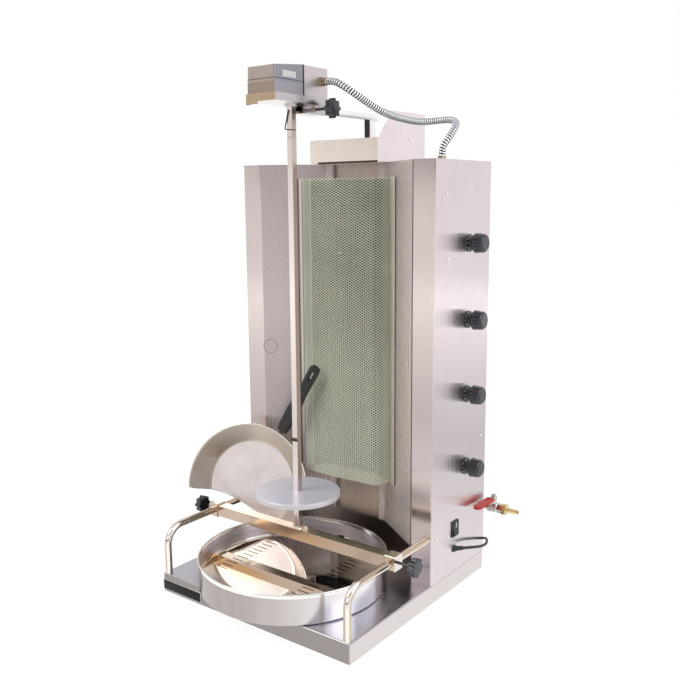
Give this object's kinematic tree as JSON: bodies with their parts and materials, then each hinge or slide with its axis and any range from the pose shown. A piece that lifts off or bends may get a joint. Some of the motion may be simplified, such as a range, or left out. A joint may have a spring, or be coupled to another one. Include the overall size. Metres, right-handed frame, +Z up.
{
  "type": "vertical gas spit grill",
  "caption": "Upright gas grill for roasting stacked meat on a motor-driven spit, with folded reflectors, mesh guard, flue hood, drip pan, crossbar on rails and a scoop.",
  "frame": {"origin": "centre of the plinth's underside, on the surface it stands on", "axes": "+Z up, the front with the spit faces -Y, the gas knobs are on +X"},
  "size_m": [0.6824, 0.7192, 1.1353],
  "materials": {
    "housing_steel": "vertical brush, satin",
    "wing_steel": "vertical brush, satin",
    "plinth_steel": "brushed, satin",
    "inner_steel": "mill finish",
    "hood_steel": "brushed, satin",
    "cast_burner": "rough",
    "ceramic": "matt, porous, darkened by fire",
    "mesh_steel": "bright, expanded metal",
    "arm_steel": "brushed",
    "motor_case": "fine brush, satin",
    "cast_aluminium": "cast, satin",
    "laminations": "laminated, dark",
    "shaft_steel": "turned",
    "gear_steel": "machined",
    "black_knob": "smooth, semi-gloss",
    "conduit_zinc": "galvanised, ribbed",
    "gland_zinc": "plated",
    "spit_steel": "drawn, satin",
    "wire_steel": "bright",
    "disc_steel": "satin",
    "crossbar_steel": "polished, satin",
    "bearing_bronze": "sintered",
    "rail_chrome": "polished tube",
    "pan_steel": "polished",
    "plate_steel": "polished sheet",
    "scoop_steel": "polished",
    "handle_black": "matt",
    "gas_brass": "machined",
    "gas_pipe_steel": "drawn tube",
    "bezel_black": "smooth",
    "valve_nickel": "nickel plated",
    "lever_red": "red dipped sleeve",
    "tail_brass": "machined",
    "switch_black": "fine texture",
    "rocker_black": "smooth",
    "bush_black": "matt",
    "cable_black": "matt",
    "plug_black": "matt",
    "screw_steel": "plated"
  },
  "bodies": {
    "grill": {"base_tray": "plinth_steel", "base_plate": "inner_steel", "side_cover_left": "housing_steel", "side_cover_right": "housing_steel", "reflector_left": "wing_steel", "reflector_right": "wing_steel", "burner_wall": "inner_steel", "back_cover": "housing_steel", "top_cover": "housing_steel", "flue_hood": "hood_steel", "burner_bodies": "cast_burner", "burner_plaques": "ceramic", "mesh_guard": "mesh_steel", "arm_post": "arm_steel", "arm_tube": "arm_steel", "conduit": "conduit_zinc", "gland_housing": "gland_zinc", "rail_left": "rail_chrome", "rail_right": "rail_chrome", "gas_taps": "gas_brass", "gas_pipes": "gas_pipe_steel", "knob_bezels": "bezel_black", "valve_body": "valve_nickel", "hose_tail": "tail_brass", "switch_housing": "switch_black", "cable_bush": "bush_black", "power_cable": "cable_black", "cable_coil": "cable_black", "plug": "plug_black", "fasteners": "screw_steel"},
    "motor_unit": {"motor_tray": "motor_case", "gearbox_case": "cast_aluminium", "motor_cover": "motor_case", "terminal_box": "motor_case", "motor_stator": "laminations", "gland_motor": "gland_zinc"},
    "spit": {"spit_bar": "spit_steel", "drive_gear": "gear_steel", "spit_clip": "wire_steel"},
    "rotor": {"motor_rotor": "shaft_steel"},
    "disc": {"meat_disc": "disc_steel"},
    "arm_screw": {"arm_knob": "black_knob"},
    "cross_slide": {"crossbar": "crossbar_steel", "spit_bearing": "bearing_bronze"},
    "rail_screw_left": {"rail_knob_left": "black_knob"},
    "rail_screw_right": {"rail_knob_right": "black_knob"},
    "pan": {"drip_pan": "pan_steel"},
    "plate": {"drain_plate": "plate_steel"},
    "scoop": {"scoop_pan": "scoop_steel", "scoop_handle": "handle_black"},
    "lever": {"valve_lever": "lever_red"},
    "rocker": {"switch_rocker": "rocker_black"},
    "gas_stem_1": {"gas_stem_1": "gas_brass"},
    "gas_knob_1": {"gas_knob_1": "black_knob"},
    "gas_stem_2": {"gas_stem_2": "gas_brass"},
    "gas_knob_2": {"gas_knob_2": "black_knob"},
    "gas_stem_3": {"gas_stem_3": "gas_brass"},
    "gas_knob_3": {"gas_knob_3": "black_knob"},
    "gas_stem_4": {"gas_stem_4": "gas_brass"},
    "gas_knob_4": {"gas_knob_4": "black_knob"}
  },
  "joints": [
    {"name": "motor_slide", "type": "slide", "parent": "grill", "child": "motor_unit", "axis": [0, 1, 0], "range_m": [-0.03, 0.004], "deforming": ["conduit"]},
    {"name": "crossbar_slide", "type": "slide", "parent": "grill", "child": "cross_slide", "axis": [0, 1, 0], "range_m": [-0.03, 0.004]},
    {"name": "spit_turn", "type": "hinge", "parent": "motor_unit", "child": "spit", "pos_m": [0, -0.102, 1.05], "axis": [0, 0, 1], "continuous": true},
    {"name": "rotor_turn", "type": "hinge", "parent": "motor_unit", "child": "rotor", "pos_m": [0, -0.141, 1.1], "axis": [0, 0, 1], "continuous": true},
    {"name": "disc_lift", "type": "slide", "parent": "spit", "child": "disc", "axis": [0, 0, 1], "range_m": [0, 0.1]},
    {"name": "arm_screw_turn", "type": "hinge", "parent": "motor_unit", "child": "arm_screw", "pos_m": [0.0645, -0.049, 1.05325], "axis": [1, 0, 0], "range_deg": [0, 360]},
    {"name": "rail_screw_left_turn", "type": "hinge", "parent": "cross_slide", "child": "rail_screw_left", "pos_m": [-0.3025, -0.102, 0.146], "axis": [-1, 0, 0], "range_deg": [0, 360]},
    {"name": "rail_screw_right_turn", "type": "hinge", "parent": "cross_slide", "child": "rail_screw_right", "pos_m": [0.3025, -0.102, 0.146], "axis": [1, 0, 0], "range_deg": [0, 360]},
    {"name": "pan_slide", "type": "slide", "parent": "grill", "child": "pan", "axis": [0, -1, 0], "range_m": [0, 0.28]},
    {"name": "plate_lift", "type": "slide", "parent": "pan", "child": "plate", "axis": [0, 0, 1], "range_m": [0, 0.02]},
    {"name": "scoop_lift", "type": "slide", "parent": "grill", "child": "scoop", "axis": [0, 0, 1], "range_m": [0, 0.1]},
    {"name": "lever_turn", "type": "hinge", "parent": "grill", "child": "lever", "pos_m": [0.281, 0.281, 0.172], "axis": [0, 0, 1], "range_deg": [0, 90]},
    {"name": "rocker_tilt", "type": "hinge", "parent": "grill", "child": "rocker", "pos_m": [0.257, 0.129, 0.1425], "axis": [0, 1, 0], "range_deg": [0, 14]},
    {"name": "gas_press_1", "type": "slide", "parent": "grill", "child": "gas_stem_1", "axis": [-1, 0, 0], "range_m": [0, 0.004], "stiffness_N_per_m": 1500, "springref_m": -0.003},
    {"name": "gas_turn_1", "type": "hinge", "parent": "gas_stem_1", "child": "gas_knob_1", "pos_m": [0.285, 0.173, 0.2765], "axis": [1, 0, 0], "range_deg": [0, 180]},
    {"name": "gas_press_2", "type": "slide", "parent": "grill", "child": "gas_stem_2", "axis": [-1, 0, 0], "range_m": [0, 0.004], "stiffness_N_per_m": 1500, "springref_m": -0.003},
    {"name": "gas_turn_2", "type": "hinge", "parent": "gas_stem_2", "child": "gas_knob_2", "pos_m": [0.285, 0.173, 0.443], "axis": [1, 0, 0], "range_deg": [0, 180]},
    {"name": "gas_press_3", "type": "slide", "parent": "grill", "child": "gas_stem_3", "axis": [-1, 0, 0], "range_m": [0, 0.004], "stiffness_N_per_m": 1500, "springref_m": -0.003},
    {"name": "gas_turn_3", "type": "hinge", "parent": "gas_stem_3", "child": "gas_knob_3", "pos_m": [0.285, 0.173, 0.6095], "axis": [1, 0, 0], "range_deg": [0, 180]},
    {"name": "gas_press_4", "type": "slide", "parent": "grill", "child": "gas_stem_4", "axis": [-1, 0, 0], "range_m": [0, 0.004], "stiffness_N_per_m": 1500, "springref_m": -0.003},
    {"name": "gas_turn_4", "type": "hinge", "parent": "gas_stem_4", "child": "gas_knob_4", "pos_m": [0.285, 0.173, 0.776], "axis": [1, 0, 0], "range_deg": [0, 180]}
  ],
  "couplings": [
    {"joint": "crossbar_slide", "follows": "motor_slide", "ratio": 1},
    {"joint": "rotor_turn", "follows": "spit_turn", "ratio": -3.3333}
  ]
}
